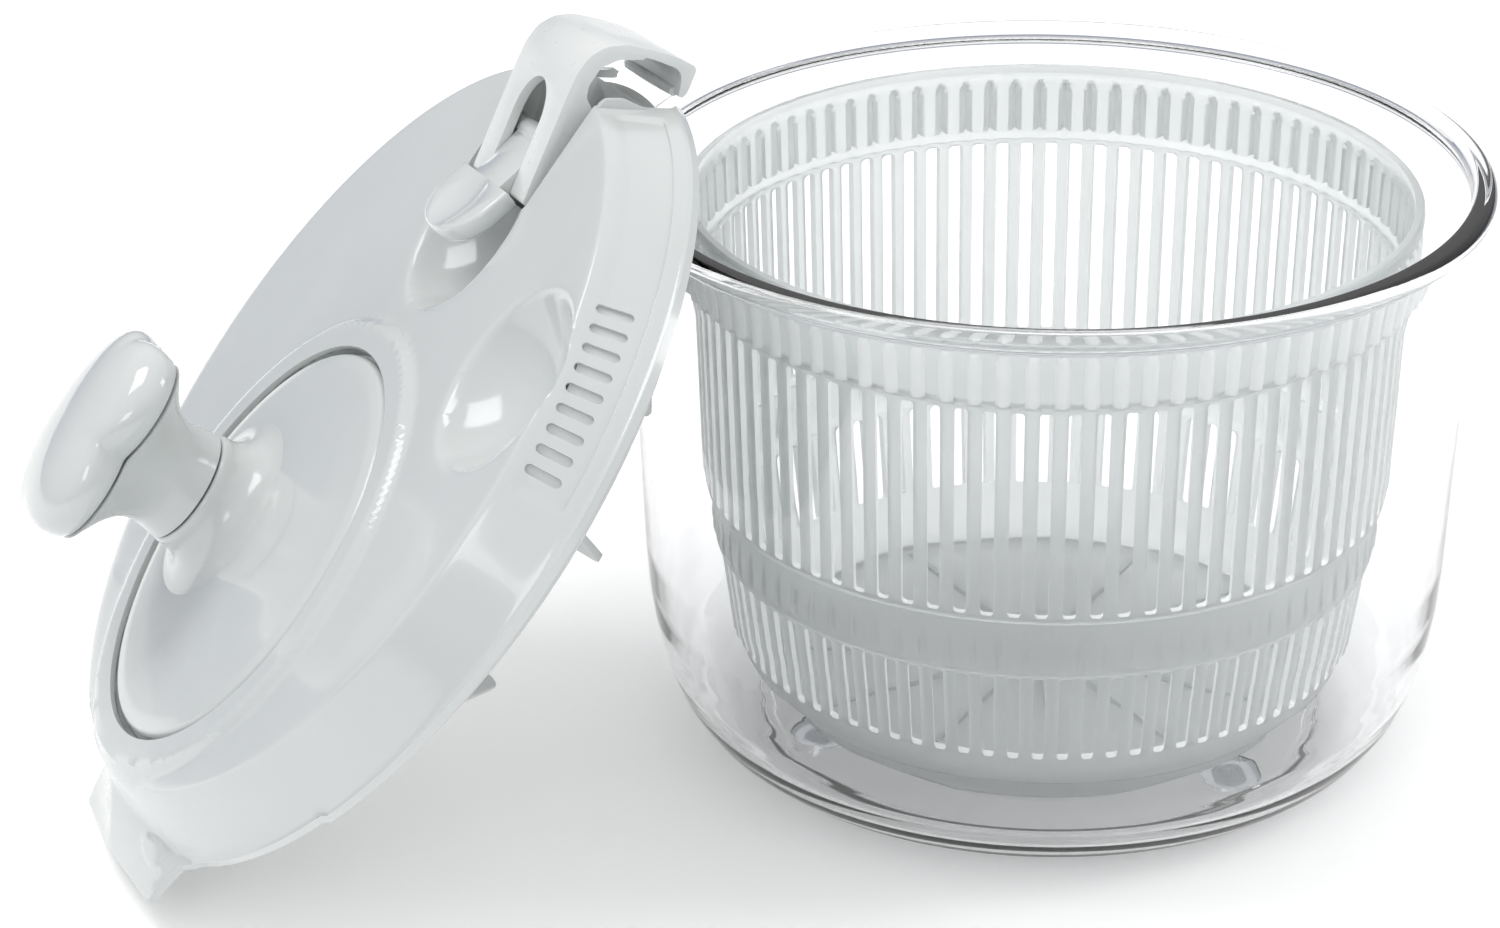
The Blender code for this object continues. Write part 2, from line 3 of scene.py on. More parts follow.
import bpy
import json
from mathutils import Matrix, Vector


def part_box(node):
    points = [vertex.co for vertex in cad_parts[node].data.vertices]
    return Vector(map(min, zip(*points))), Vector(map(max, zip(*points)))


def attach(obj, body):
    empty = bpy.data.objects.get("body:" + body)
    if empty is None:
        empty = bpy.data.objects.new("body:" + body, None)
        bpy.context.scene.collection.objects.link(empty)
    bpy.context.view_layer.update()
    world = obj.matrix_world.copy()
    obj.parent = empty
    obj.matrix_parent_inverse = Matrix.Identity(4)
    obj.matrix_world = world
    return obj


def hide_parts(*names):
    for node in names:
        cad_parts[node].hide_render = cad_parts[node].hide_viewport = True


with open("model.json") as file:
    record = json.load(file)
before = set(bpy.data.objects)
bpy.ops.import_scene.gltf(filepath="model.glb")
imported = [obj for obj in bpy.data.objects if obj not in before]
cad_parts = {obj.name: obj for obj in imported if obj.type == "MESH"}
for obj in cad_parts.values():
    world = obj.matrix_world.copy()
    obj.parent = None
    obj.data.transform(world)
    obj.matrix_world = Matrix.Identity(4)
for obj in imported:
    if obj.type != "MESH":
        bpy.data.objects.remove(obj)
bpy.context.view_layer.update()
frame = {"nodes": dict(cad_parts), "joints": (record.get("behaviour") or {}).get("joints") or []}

import json
import math

import bmesh
import bpy
import numpy as np
from mathutils import Matrix, Vector

MM = 0.001
JOINTS = {j["name"]: j for j in frame["joints"]}

# ---------------------------------------------------------------- where the pieces stand

low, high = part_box("bowl")
BOWL = Matrix.Translation(((low.x + high.x) / 2, (low.y + high.y) / 2, 0.0))


def axes(origin, x, y, z):
    turn = Matrix((x, y, z)).transposed().to_4x4()
    return Matrix.Translation(origin) @ turn


UP = Vector(JOINTS["drive_spin"]["axis"]).normalized()
ACROSS = -Vector(JOINTS["clip_swing"]["axis"]).normalized()
LID = axes(Vector(JOINTS["drive_spin"]["pos_m"]), ACROSS.cross(UP), ACROSS, UP)
# places on the flat lid in mm, and turns in degrees, as the CAD has them
CRANK_X = -42.0
KNOB_X, KNOB_Y = -41.0, 27.0
CLIP_PIN, CLIP_OPEN = (84.0, 15.5), 12.0
LEVER_PIN, LEVER_UP = (97.0, 15.8), 28.0
PIN_STEP = (LEVER_PIN[0] - CLIP_PIN[0], LEVER_PIN[1] - CLIP_PIN[1])

CRANK = LID @ Matrix.Translation((CRANK_X * MM, 0, 0))
KNOB = LID @ Matrix.Translation((KNOB_X * MM, KNOB_Y * MM, 0))
CLIP = (LID @ Matrix.Translation((CLIP_PIN[0] * MM, 0, CLIP_PIN[1] * MM))
        @ Matrix.Rotation(math.radians(-CLIP_OPEN), 4, "Y"))
LEVER = (CLIP @ Matrix.Translation((PIN_STEP[0] * MM, 0, PIN_STEP[1] * MM))
         @ Matrix.Rotation(math.radians(LEVER_UP), 4, "Y"))

# ---------------------------------------------------------------- materials


def nodes_of(name):
    mat = bpy.data.materials.new(name)
    mat.use_nodes = True
    tree = mat.node_tree
    return mat, tree.nodes, tree.links, tree.nodes["Principled BSDF"]


def noise(nodes, links, coords, scale, detail=3.0, rough=0.5):
    tex = nodes.new("ShaderNodeTexNoise")
    tex.inputs["Scale"].default_value = scale
    tex.inputs["Detail"].default_value = detail
    tex.inputs["Roughness"].default_value = rough
    links.new(coords.outputs["Object"], tex.inputs["Vector"])
    return tex


def spread(nodes, links, source, low_value, high_value, start=0.3, end=0.7):
    ramp = nodes.new("ShaderNodeMapRange")
    ramp.inputs["From Min"].default_value = start
    ramp.inputs["From Max"].default_value = end
    ramp.inputs["To Min"].default_value = low_value
    ramp.inputs["To Max"].default_value = high_value
    links.new(source, ramp.inputs["Value"])
    return ramp.outputs["Result"]


def moulded(name, light, dark, rough, coat=0.0, grain=(1500.0, 0.02), wave=(55.0, 0.03), sss=0.0,
            transmission=0.0, ior=1.5, metal=0.0):
    """Moulded plastic, rubber or metal: soft tone changes, uneven gloss, fine grain over slow waves."""
    mat, nodes, links, shader = nodes_of(name)
    coords = nodes.new("ShaderNodeTexCoord")
    tone = noise(nodes, links, coords, 24.0, 4.0)
    mix = nodes.new("ShaderNodeMix")
    mix.data_type = "RGBA"
    mix.inputs["A"].default_value = (*dark, 1.0)
    mix.inputs["B"].default_value = (*light, 1.0)
    links.new(spread(nodes, links, tone.outputs["Fac"], 0.0, 1.0), mix.inputs["Factor"])
    links.new(mix.outputs["Result"], shader.inputs["Base Color"])
    gloss = noise(nodes, links, coords, 130.0, 5.0, 0.6)
    links.new(spread(nodes, links, gloss.outputs["Fac"], rough[0], rough[1]), shader.inputs["Roughness"])
    fine = noise(nodes, links, coords, grain[0], 2.0)
    slow = noise(nodes, links, coords, wave[0], 1.0)
    first = nodes.new("ShaderNodeBump")
    first.inputs["Strength"].default_value = wave[1]
    first.inputs["Distance"].default_value = 0.002
    links.new(slow.outputs["Fac"], first.inputs["Height"])
    second = nodes.new("ShaderNodeBump")
    second.inputs["Strength"].default_value = grain[1]
    second.inputs["Distance"].default_value = 0.0004
    links.new(fine.outputs["Fac"], second.inputs["Height"])
    links.new(first.outputs["Normal"], second.inputs["Normal"])
    links.new(second.outputs["Normal"], shader.inputs["Normal"])
    shader.inputs["Coat Weight"].default_value = coat
    shader.inputs["Coat Roughness"].default_value = 0.04
    shader.inputs["IOR"].default_value = ior
    shader.inputs["Metallic"].default_value = metal
    shader.inputs["Transmission Weight"].default_value = transmission
    if sss:
        shader.inputs["Subsurface Weight"].default_value = sss
        shader.inputs["Subsurface Radius"].default_value = (1.0, 1.0, 0.95)
        shader.inputs["Subsurface Scale"].default_value = 0.003
    return mat


def glowing(mat, colour, strength):
    """A little light of its own: painted glow on the basket's thin cut edges and rib tops, standing in for
    light passing through them and their highlights, and an even glow for a floor that stays white.
    """
    shader = mat.node_tree.nodes["Principled BSDF"]
    shader.inputs["Emission Color"].default_value = (*colour, 1)
    shader.inputs["Emission Strength"].default_value = strength


WHITE = moulded("lid_white", (0.590, 0.612, 0.606), (0.565, 0.588, 0.582), (0.11, 0.18), 0.4, sss=0.05)
GLOSS = moulded("lid_white_gloss", (0.600, 0.622, 0.616), (0.575, 0.599, 0.592), (0.05, 0.10), 0.6,
                grain=(1500.0, 0.01), sss=0.05)
SATIN = moulded("clip_white", (0.70, 0.72, 0.71), (0.67, 0.69, 0.68), (0.26, 0.36), 0.1,
                grain=(1800.0, 0.06), sss=0.10)
INNER = moulded("inner_white", (0.66, 0.68, 0.67), (0.62, 0.64, 0.63), (0.30, 0.42), grain=(1200.0, 0.06))
CLEAR = moulded("bowl_clear", (0.992, 0.995, 0.998), (0.985, 0.99, 0.995), (0.0, 0.02), grain=(900.0, 0.0),
                wave=(30.0, 0.012), transmission=1.0, ior=1.49)
FROST = moulded("basket_frosted", (0.930, 0.952, 0.950), (0.905, 0.930, 0.927), (0.28, 0.40),
                grain=(2200.0, 0.10), wave=(80.0, 0.03), sss=0.0, transmission=0.74, ior=1.30)
# Painted light: the basket's cut edges and rib tops get a lighter, less clear white and a faint glow,
# standing in for light passing through them and for highlights.
GLOW_EDGE = moulded("basket_cut_edge_painted_glow", (0.96, 0.975, 0.97), (0.93, 0.95, 0.945), (0.30, 0.42),
               grain=(2200.0, 0.05), transmission=0.10, ior=1.45)
glowing(GLOW_EDGE, (0.94, 0.97, 0.96), 0.10)
ACETAL = moulded("gear_acetal", (0.72, 0.73, 0.70), (0.68, 0.69, 0.66), (0.34, 0.44), grain=(1600.0, 0.05))
STEEL = moulded("screw_steel", (0.66, 0.66, 0.68), (0.56, 0.56, 0.58), (0.20, 0.34), grain=(2600.0, 0.08),
                metal=1.0)
RUBBER = moulded("foot_soft", (0.90, 0.92, 0.95), (0.85, 0.88, 0.92), (0.20, 0.34), transmission=0.75,
                 ior=1.42, grain=(1700.0, 0.08))

# ---------------------------------------------------------------- mesh helpers


def made(name, verts, faces, matrix, mats, body, slot, crease=35.0):
    """A piece from points in mm and faces, placed, finished and riding on its body."""
    mesh = bpy.data.meshes.new(name)
    mesh.from_pydata((np.asarray(verts, float) * MM).tolist(), [], [list(map(int, f)) for f in faces])
    mesh.transform(matrix)
    obj = bpy.data.objects.new(name, mesh)
    bpy.context.scene.collection.objects.link(obj)
    bm = bmesh.new()
    bm.from_mesh(mesh)
    bmesh.ops.recalc_face_normals(bm, faces=bm.faces)
    bm.to_mesh(mesh)
    bm.free()
    for mat in mats:
        mesh.materials.append(mat)
    if body:
        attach(obj, body)
        shaded(obj, crease)
    return obj


def shaded(obj, crease=35.0):
    obj.data.shade_smooth()
    obj.data.set_sharp_from_angle(angle=math.radians(crease))


def settle(obj, crease=35.0):
    """Writes the piece's modifiers into its mesh."""
    bpy.context.view_layer.update()
    evaluated = obj.evaluated_get(bpy.context.evaluated_depsgraph_get())
    mesh = bpy.data.meshes.new_from_object(evaluated)
    obj.modifiers.clear()
    obj.data = mesh
    shaded(obj, crease)


def bevel(obj, width, segments=3, angle=30.0):
    mod = obj.modifiers.new("bevel", "BEVEL")
    mod.width = width * MM
    mod.segments = segments
    mod.limit_method = "ANGLE"
    mod.angle_limit = math.radians(angle)
    mod.harden_normals = False
    mod.use_clamp_overlap = True


def boolean(obj, others, how="DIFFERENCE"):
    for other in others:
        mod = obj.modifiers.new(how, "BOOLEAN")
        mod.operation = how
        mod.object = other
        mod.solver = "EXACT"
    settle(obj)
    for other in others:
        bpy.data.objects.remove(other)


def rounded(points, setback, arc=4, closed=True):
    """The polyline with its corners rounded; each corner starts `setback` mm before its point."""
    pts = [np.array(p, float) for p in points]
    out = []
    for i, p in enumerate(pts):
        if not closed and i in (0, len(pts) - 1):
            out.append(p)
            continue
        a, b = pts[i - 1] - p, pts[(i + 1) % len(pts)] - p
        la, lb = np.linalg.norm(a), np.linalg.norm(b)
        t = min(setback, 0.45 * la, 0.45 * lb)
        if t < 0.02 or abs(p[0]) < 1e-6:
            out.append(p)
            continue
        start, end = p + a / la * t, p + b / lb * t
        for s in np.linspace(0, 1, arc + 1):
            out.append((1 - s) ** 2 * start + 2 * s * (1 - s) * p + s ** 2 * end)
    return [tuple(p) for p in out]


def ring_mesh(profile, steps, at=(0.0, 0.0)):
    """Points and faces of a closed (r, z) outline turned about the axis."""
    angles = np.arange(steps) * math.tau / steps
    verts, rings = [], []
    for r, z in profile:
        if r < 1e-6:
            rings.append([len(verts)] * steps)
            verts.append((at[0], at[1], z))
        else:
            rings.append(list(range(len(verts), len(verts) + steps)))
            verts += [(at[0] + r * math.cos(a), at[1] + r * math.sin(a), z) for a in angles]
    faces = []
    for one, two in zip(rings, rings[1:] + rings[:1]):
        for i in range(steps):
            j = (i + 1) % steps
            face = list(dict.fromkeys((one[i], one[j], two[j], two[i])))
            if len(face) > 2:
                faces.append(face)
    return verts, faces


def lathe(name, profile, matrix, mats, body, slot, setback=0.6, steps=160, arc=4, at=(0.0, 0.0)):
    return made(name, *ring_mesh(rounded(profile, setback, arc), steps, at), matrix, mats, body, slot)


def loft_mesh(rings):
    """Points and faces through closed sections of (x, y, z) points, with flat ends."""
    n = len(rings[0])
    verts = [p for ring in rings for p in ring]
    faces = [list(range(n))[::-1], list(range((len(rings) - 1) * n, len(rings) * n))]
    for k in range(len(rings) - 1):
        for i in range(n):
            j = (i + 1) % n
            faces.append((k * n + i, k * n + j, (k + 1) * n + j, (k + 1) * n + i))
    return verts, faces


def prism_mesh(outline, low_z, high_z, upright=False, centre=0.0):
    """An outline raised between two heights; `upright` draws it in (x, z) and raises it along y."""
    rings = []
    for z in (low_z, high_z):
        rings.append([(x, centre + z, y) if upright else (x, y, z) for x, y in outline])
    return loft_mesh(rings)


def cutter(verts, faces, matrix):
    return made("cutter", verts, faces, matrix, [], None, None)


def together(parts):
    verts, faces = [], []
    for v, f in parts:
        faces += [[i + len(verts) for i in face] for face in f]
        verts += list(v)
    return verts, faces


def turned_about(verts, degrees, at=(0.0, 0.0)):
    c, s = math.cos(math.radians(degrees)), math.sin(math.radians(degrees))
    return [(at[0] + c * x - s * y, at[1] + s * x + c * y, z) for x, y, z in verts]


def superellipse(half_x, half_y, power, count):
    a = np.arange(count) * math.tau / count
    c, s = np.cos(a), np.sin(a)
    return list(zip(half_x * np.sign(c) * np.abs(c) ** (2 / power),
                    half_y * np.sign(s) * np.abs(s) ** (2 / power)))


def smooth_max(a, b, k):
    return 0.5 * (a + b + np.sqrt((a - b) ** 2 + k * k))


def smooth_min(a, b, k):
    return 0.5 * (a + b - np.sqrt((a - b) ** 2 + k * k))


def hidden_by(obj, *names):
    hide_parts(*names)


# ---------------------------------------------------------------- bowl

FOOT_ANGLES = (-56.0, 64.0, 184.0)


def build_bowl():
    outer = [(125.0, 174.2), (125.0, 171.6), (123.4, 170.2), (121.2, 169.4), (120.6, 160.0), (119.4, 110.0),
             (117.6, 62.0), (116.6, 48.0), (115.0, 37.0), (112.6, 27.0), (109.2, 18.2), (104.5, 11.0),
             (98.8, 5.8), (92.0, 2.6), (84.0, 1.1), (78.0, 0.9), (0.0, 0.9)]
    inner = [(0.0, 26.0), (3.9, 26.0), (5.0, 24.8), (5.0, 8.0), (6.2, 5.6), (9.0, 4.6), (52.0, 4.4),
             (53.2, 5.6), (54.8, 5.6), (56.0, 4.4), (80.6, 4.5), (81.6, 6.2), (83.6, 6.2), (85.0, 4.9),
             (92.0, 6.4), (97.6, 9.4), (102.4, 13.6), (106.6, 19.8), (109.6, 27.4), (111.8, 37.0),
             (113.6, 48.0), (114.8, 62.0), (116.8, 110.0), (117.6, 160.0), (117.9, 169.0), (117.9, 174.6),
             (119.2, 176.0), (123.2, 176.0)]
    profile = rounded(inner + outer, 2.2, 4)
    bowl = made("bowl_body", *ring_mesh(profile, 192), BOWL, [CLEAR], "bowl", "clear_plastic")
    pockets = []
    for angle in FOOT_ANGLES:
        at = (70 * math.cos(math.radians(angle)), 70 * math.sin(math.radians(angle)))
        pockets.append(ring_mesh([(0, 2.65), (9.0, 2.65), (9.0, -1), (0, -1)], 64, at))
    boolean(bowl, [cutter(*together(pockets), BOWL)])
    hidden_by(bowl, "bowl")
    for i, angle in enumerate(FOOT_ANGLES, 1):
        at = (70 * math.cos(math.radians(angle)), 70 * math.sin(math.radians(angle)))
        foot = lathe(f"foot_disc_{i}", [(0, 2.4), (8.7, 2.4), (8.7, 0.5), (8.0, 0.0), (4.6, 0.0), (4.2, 0.5),
                                        (0, 0.5)], BOWL, [RUBBER], "bowl", "foot_rubber", 0.3, 64, 3, at)
        hidden_by(foot, f"foot_{i}")


# ---------------------------------------------------------------- basket

ROUND = 84
ACROSS_PITCH = (0.0, 0.09, 0.18, 0.265, 0.36, 0.5, 0.64, 0.735, 0.82, 0.91)
OPEN_COLUMNS = (3, 4, 5, 6)


def basket_rows():
    """(r, z, kind) down the outside, then in along the floor. Slots run through the rows `up` and `down`."""
    rows = [(102.6, 168.0, ""), (104.6, 168.0, ""), (105.3, 167.3, ""), (105.4, 166.0, ""),
            (105.3, 164.6, ""), (104.4, 163.9, "")]
    rows += [(103.95 - (163.2 - z) * 0.035, z, "rib")
             for z in (163.2, 162.4, 161.6, 160.4, 158.6, 156.0, 151.0, 148.2, 147.0)]
    rows += [(103.2, 146.2, ""), (102.2, 145.3, ""), (101.6, 144.8, "")]
    rows += [(101.6 - (145 - z) * 0.0312, z, "up") for z in (144.0, 143.3, 142.4, 112.0, 83.8, 82.8, 82.0)]
    rows += [(99.55, 80.6, ""), (98.8, 79.7, ""), (97.7, 79.1, "")]
    rows += [(97.6 - (79 - z) * 0.035, z, "tick") for z in (76.0, 72.0, 69.6, 68.0, 66.4, 64.6)]
    rows += [(96.9, 63.2, ""), (96.2, 62.2, ""), (95.5, 61.5, "")]
    rows += [(95.4 - (61.6 - z) * 0.133, z, "down") for z in (61.0, 60.2, 59.4, 48.0, 35.4, 34.4, 33.5)]
    rows += [(91.0, 32.0, ""), (90.2, 29.6, ""), (88.6, 26.4, ""), (86.0, 23.2, ""), (82.8, 20.6, ""),
             (79.4, 19.0, ""), (74.0, 18.4, ""), (56.0, 18.3, ""), (36.0, 18.3, ""), (18.0, 18.3, ""),
             (9.5, 18.3, "")]
    return rows


def paint_highlight_on_rib_tops(basket):
    """Painted highlight: the band's rib tops get the glowing edge material, so they read clearer and brighter
    than the frosted wall between them.
    """
    mesh = basket.data
    for poly in mesh.polygons:
        at = poly.center
        r = math.hypot(at.x - BOWL.translation.x, at.y - BOWL.translation.y) / MM
        z = at.z / MM
        if 147.0 < z < 163.0 and r > 104.3 - (163.2 - z) * 0.035:
            # painted highlight: the rib top takes the glowing edge material
            poly.material_index = 1


def build_basket():
    rows = basket_rows()
    columns = [(k, s) for k in range(ROUND) for s in ACROSS_PITCH]
    n, wide = len(columns), len(ACROSS_PITCH)
    verts = []
    for r, z, kind in rows:
        ends = {"up": (144.0, 82.0), "down": (61.0, 33.5)}.get(kind)
        for k, s in columns:
            out, shift, drop = 0.0, 0.0, 0.0
            near = min(s, 1 - s)
            if kind == "rib":
                out = 1.55 * math.sqrt(max(0.0, 1 - (near / 0.235) ** 2 - max(0.0, (z - 159.4) / 3.6) ** 2))
            elif kind == "tick":
                out = 0.7 * math.sqrt(max(0.0, 1 - (near / 0.16) ** 2 - ((z - 68.6) / 4.0) ** 2))
            elif ends:
                out = 0.35 * math.cos(min(near / 0.265, 1.0) * math.pi / 2)
            if ends and z in ends and abs(s - 0.5) > 0.2 and 0.2 < s < 0.8:
                shift = 0.045 if s < 0.5 else -0.045
                drop = -0.25 if z == ends[0] else 0.25
            a = (k + s + shift) * math.tau / ROUND
            verts.append(((r + out) * math.cos(a), (r + out) * math.sin(a), z + drop))
    faces = []
    for j in range(len(rows) - 1):
        same = rows[j][2] == rows[j + 1][2] and rows[j][2] in ("up", "down")
        for i in range(n):
            if same and i % wide in OPEN_COLUMNS:
                continue
            faces.append((j * n + i, j * n + (i + 1) % n, (j + 1) * n + (i + 1) % n, (j + 1) * n + i))
    basket = made("basket_body", verts, faces, BOWL, [FROST, GLOW_EDGE], "basket", "frosted_plastic")
    wall = basket.modifiers.new("wall", "SOLIDIFY")
    wall.thickness = 1.9 * MM
    wall.offset = -1.0
    wall.use_even_offset = True
    # The slot cut edges get the painted-glow edge material.
    wall.material_offset_rim = 1
    settle(basket, 40)
    # Painted highlight on the band's rib tops.
    paint_highlight_on_rib_tops(basket)
    hidden_by(basket, "basket")
    lathe("basket_foot_ring", [(76.6, 18.6), (76.6, 15.2), (77.2, 14.9), (78.6, 14.9), (79.1, 15.4),
                               (79.6, 18.9)], BOWL, [FROST], "basket", "frosted_plastic", 0.3, 168, 3)
    hub = [(5.35, 14.0), (9.0, 14.0), (9.3, 18.0), (12.0, 18.3), (11.6, 20.2), (10.4, 22.0), (9.7, 28.4),
           (8.6, 29.0), (0, 29.0), (0, 26.4), (5.35, 26.4)]
    lathe("basket_hub", hub, BOWL, [FROST], "basket", "frosted_plastic", 0.5, 96, 3)
    ribs = []
    for i in range(12):
        bar = rounded([(13, 20.2), (13, 23.0), (70, 21.0), (74, 20.2)], 0.8, 2)
        v, f = prism_mesh(bar, -0.8, 0.8, True)
        ribs.append((turned_about(v, i * 30.0 + 15.0), f))
    made("basket_floor_ribs", *together(ribs), BOWL, [FROST], "basket", "frosted_plastic")


# ---------------------------------------------------------------- lid

THUMB = (66.0, 0.0, 27.0, 16.0)
SIDE = (39.5, -80.9, 27.0, 14.0)
BOSSES = ((-69.0, 72.0), (-69.0, -72.0), (80.0, 58.0), (82.0, -58.0))


def lid_edge(angle):
    """How far out the lid reaches in one direction: its round flange, or the pouring lip."""
    c, s = np.cos(angle), np.sin(angle)
    reach = np.full_like(angle, 127.5)
    lip = (-136.3, 0.0), (-135.7, 38.0), (-122.0, 43.2), (-112.0, 58.0)
    for a, b in zip(lip, lip[1:]):
        for side in (1.0, -1.0):
            ax, ay, bx, by = a[0], a[1] * side, b[0], b[1] * side
            nx, ny = by - ay, ax - bx
            with np.errstate(divide="ignore", invalid="ignore"):
                r = (ax * nx + ay * ny) / (c * nx + s * ny)
                t = ((r * c - ax) * (bx - ax) + (r * s - ay) * (by - ay)) / ((bx - ax) ** 2 + (by - ay) ** 2)
            on = (r > 0) & (t >= 0) & (t <= 1)
            reach = np.where(on, np.maximum(reach, r), reach)
    return reach


def hollow(x, y, spec):
    cx, cy, radius, depth = spec
    ball = (radius ** 2 + depth ** 2) / (2 * depth)
    d = np.hypot(x - cx, y - cy)
    inside = ball ** 2 - d ** 2
    z = 22.0 - depth + ball - np.sqrt(np.maximum(inside, 0.0))
    return np.where(inside > 0, z, 22.0 - depth + ball + (d - ball) * 3)


def lid_height(x, y):
    """Height of the lid's outer face over its plan."""
    r = np.hypot(x, y)
    angle = np.degrees(np.arctan2(y, x))
    slope = 20.9 - 1.8 * (r - 116.0)
    panel = ((angle > -80.0) & (angle < -16.0)).astype(float)
    slope = slope - 1.3 * panel * np.clip((r - 117.2) / 0.6, 0, 1) * np.clip((124.4 - r) / 0.6, 0, 1)
    z = smooth_min(22.1 - 0.00001 * r * r, slope, 0.7)
    ridge = 6.2 + 0.66 * (x + 135.7)
    side = np.clip(1 - np.sqrt(y * y + 0.8) / 47.0, 0, None)
    spout = smooth_min(3.0 + (ridge - 3.0) * side, 21.6, 1.6)
    z = np.where(x < -80.0, smooth_max(z, spout, 1.6), z)
    flange = 3.0 - 0.35 * np.clip(r - 124.7, 0, 3)
    z = smooth_max(z, flange, 0.7)
    about = np.hypot(x - CRANK_X, y)
    collar = 24.3 - 0.9 * np.clip(about - 70.2, 0, None) ** 1.25
    z = smooth_max(z, np.where(about < 90.0, collar, -60.0), 0.8)
    z = smooth_min(z, hollow(x, y, THUMB), 0.9)
    z = smooth_min(z, hollow(x, y, SIDE), 0.9)
    pad = np.hypot((x + 124.6) / 3.3, (y + 31.5) / 7.5)
    return z + 0.8 * np.clip(1.25 - pad, 0, 0.25) / 0.25 * (r > 124.0)


def lid_depth(x, y):
    """How thick the lid's wall is measured straight down, so that it is even across its slope."""
    step = 0.4
    gx = (lid_height(x + step, y) - lid_height(x - step, y)) / (2 * step)
    gy = (lid_height(x, y + step) - lid_height(x, y - step)) / (2 * step)
    return 2.2 * np.minimum(np.sqrt(1 + gx * gx + gy * gy), 2.6)


def build_lid():
    radii = np.concatenate([np.linspace(4, 100, 62), np.linspace(101.2, 114.4, 12),
                            np.linspace(115.0, 127.5, 24)])
    steps = 480
    angle = np.arange(steps) * math.tau / steps
    edge = lid_edge(angle)
    top, under = [(0.0, 0.0, 22.1)], [(0.0, 0.0, 19.9)]
    for radius in radii:
        beyond = max(0.0, (radius - 108.0) / 19.5)
        r = radius + (edge - 127.5) * beyond
        x, y = r * np.cos(angle), r * np.sin(angle)
        z = lid_height(x, y)
        top += list(zip(x.tolist(), y.tolist(), z.tolist()))
        under += list(zip(x.tolist(), y.tolist(), (z - lid_depth(x, y)).tolist()))
    faces, count = [], len(top)
    for base, flip in ((0, False), (count, True)):
        for i in range(steps):
            j = (i + 1) % steps
            fan = [(base, base + 1 + i, base + 1 + j)]
            for k in range(len(radii) - 1):
                a = base + 1 + k * steps
                fan.append((a + i, a + steps + i, a + steps + j, a + j))
            faces += [f[::-1] if flip else f for f in fan]
    rim = 1 + (len(radii) - 1) * steps
    for i in range(steps):
        j = (i + 1) % steps
        faces.append((rim + i, count + rim + i, count + rim + j, rim + j))
    lid = made("lid_body", top + under, faces, LID, [WHITE], "lid", "white_plastic")
    cuts = [ring_mesh([(0, 40), (62.4, 40), (62.4, 5), (0, 5)], 160, (CRANK_X, 0.0))]
    tub = rounded([(77.2, -26.4), (140.0, -26.4), (140.0, 26.4), (77.2, 26.4)], 3.0, 5)
    cuts.append(prism_mesh(tub, -8.0, 44.0))
    lean = math.atan2(14.4, 8.0)
    for i in range(9):
        v, f = prism_mesh(capsule(5.2, 1.35), -1.6, 4.0)
        c, s = math.cos(lean), math.sin(lean)
        v = [(119.9 + c * x + s * z, y, 13.7 - s * x + c * z) for x, y, z in v]
        cuts.append((turned_about(v, -65.5 + (i - 4) * 2.9), f))
    boolean(lid, [cutter(*together(cuts), LID)])
    shaded(lid, 32)
    hidden_by(lid, "lid_shell")
    well = [(62.4, 23.2), (62.4, 19.0), (47.4, 19.0), (46.6, 18.2), (46.6, 16.8), (64.2, 16.8), (64.2, 22.0)]
    lathe("lid_crank_well", well, CRANK, [WHITE], "lid", "white_plastic", 0.4, 160, 3)
    skirt = [(113.6, 3.4), (113.6, -6.6), (114.0, -7.0), (115.5, -7.0), (115.9, -6.6), (116.1, 0.8),
             (122.4, 0.6), (122.4, 3.0)]
    lathe("lid_skirt", skirt, LID, [WHITE], "lid", "white_plastic", 0.4, 192, 3)
    build_clip_well()


def capsule(half, radius, count=8):
    points = []
    for side, start in ((1, -90), (-1, 90)):
        for k in range(count + 1):
            a = math.radians(start + 180 * k / count)
            points.append((side * (half - radius) + radius * math.cos(a), radius * math.sin(a)))
    return points


def build_clip_well():
    """The tray that the clip lies in: floor and two long walls."""
    parts = []
    floor = rounded([(75.6, -28.2), (119.9, -28.2), (119.9, 28.2), (75.6, 28.2)], 3.0, 4)
    parts.append(prism_mesh(floor, 3.7, 5.8))
    wall = [(75.6, 4.0), (119.6, 4.0), (119.9, 6.6), (118.2, 16.4), (115.2, 20.9), (113.0, 21.4),
            (75.6, 21.4)]
    for side in (-27.3, 27.3):
        parts.append(prism_mesh(rounded(wall, 0.8, 3), -0.95, 0.95, True, side))
    verts, faces = together(parts)
    well = made("lid_clip_well", verts, faces, LID, [WHITE], "lid", "white_plastic")
    bevel(well, 0.3, 2)
    settle(well)


def build_cover():
    profile = [(7.25, 4.4), (10.0, 4.4), (10.0, -4.0), (11.0, -5.0), (106.6, -5.0), (107.8, -4.0),
               (107.8, -1.0), (110.0, -1.0), (110.0, -6.0), (109.0, -7.0), (60.0, -7.0), (59.4, -6.5),
               (55.6, -6.5), (55.0, -7.0), (24.0, -7.0), (23.4, -6.5), (20.6, -6.5), (20.0, -7.0),
               (7.25, -7.0)]
    cover = made("gear_cover_body", *ring_mesh(rounded(profile, 0.5, 3), 160), LID, [INNER], "lid",
                 "white_plastic")
    holes = [ring_mesh([(0, 1.0), (2.1, 1.0), (2.1, -4.2), (3.9, -4.2), (3.9, -9.0), (0, -9.0)], 40, at)
             for at in BOSSES]
    boolean(cover, [cutter(*together(holes), LID)])
    hidden_by(cover, "gear_cover")


# ---------------------------------------------------------------- crank, knob and drive plate


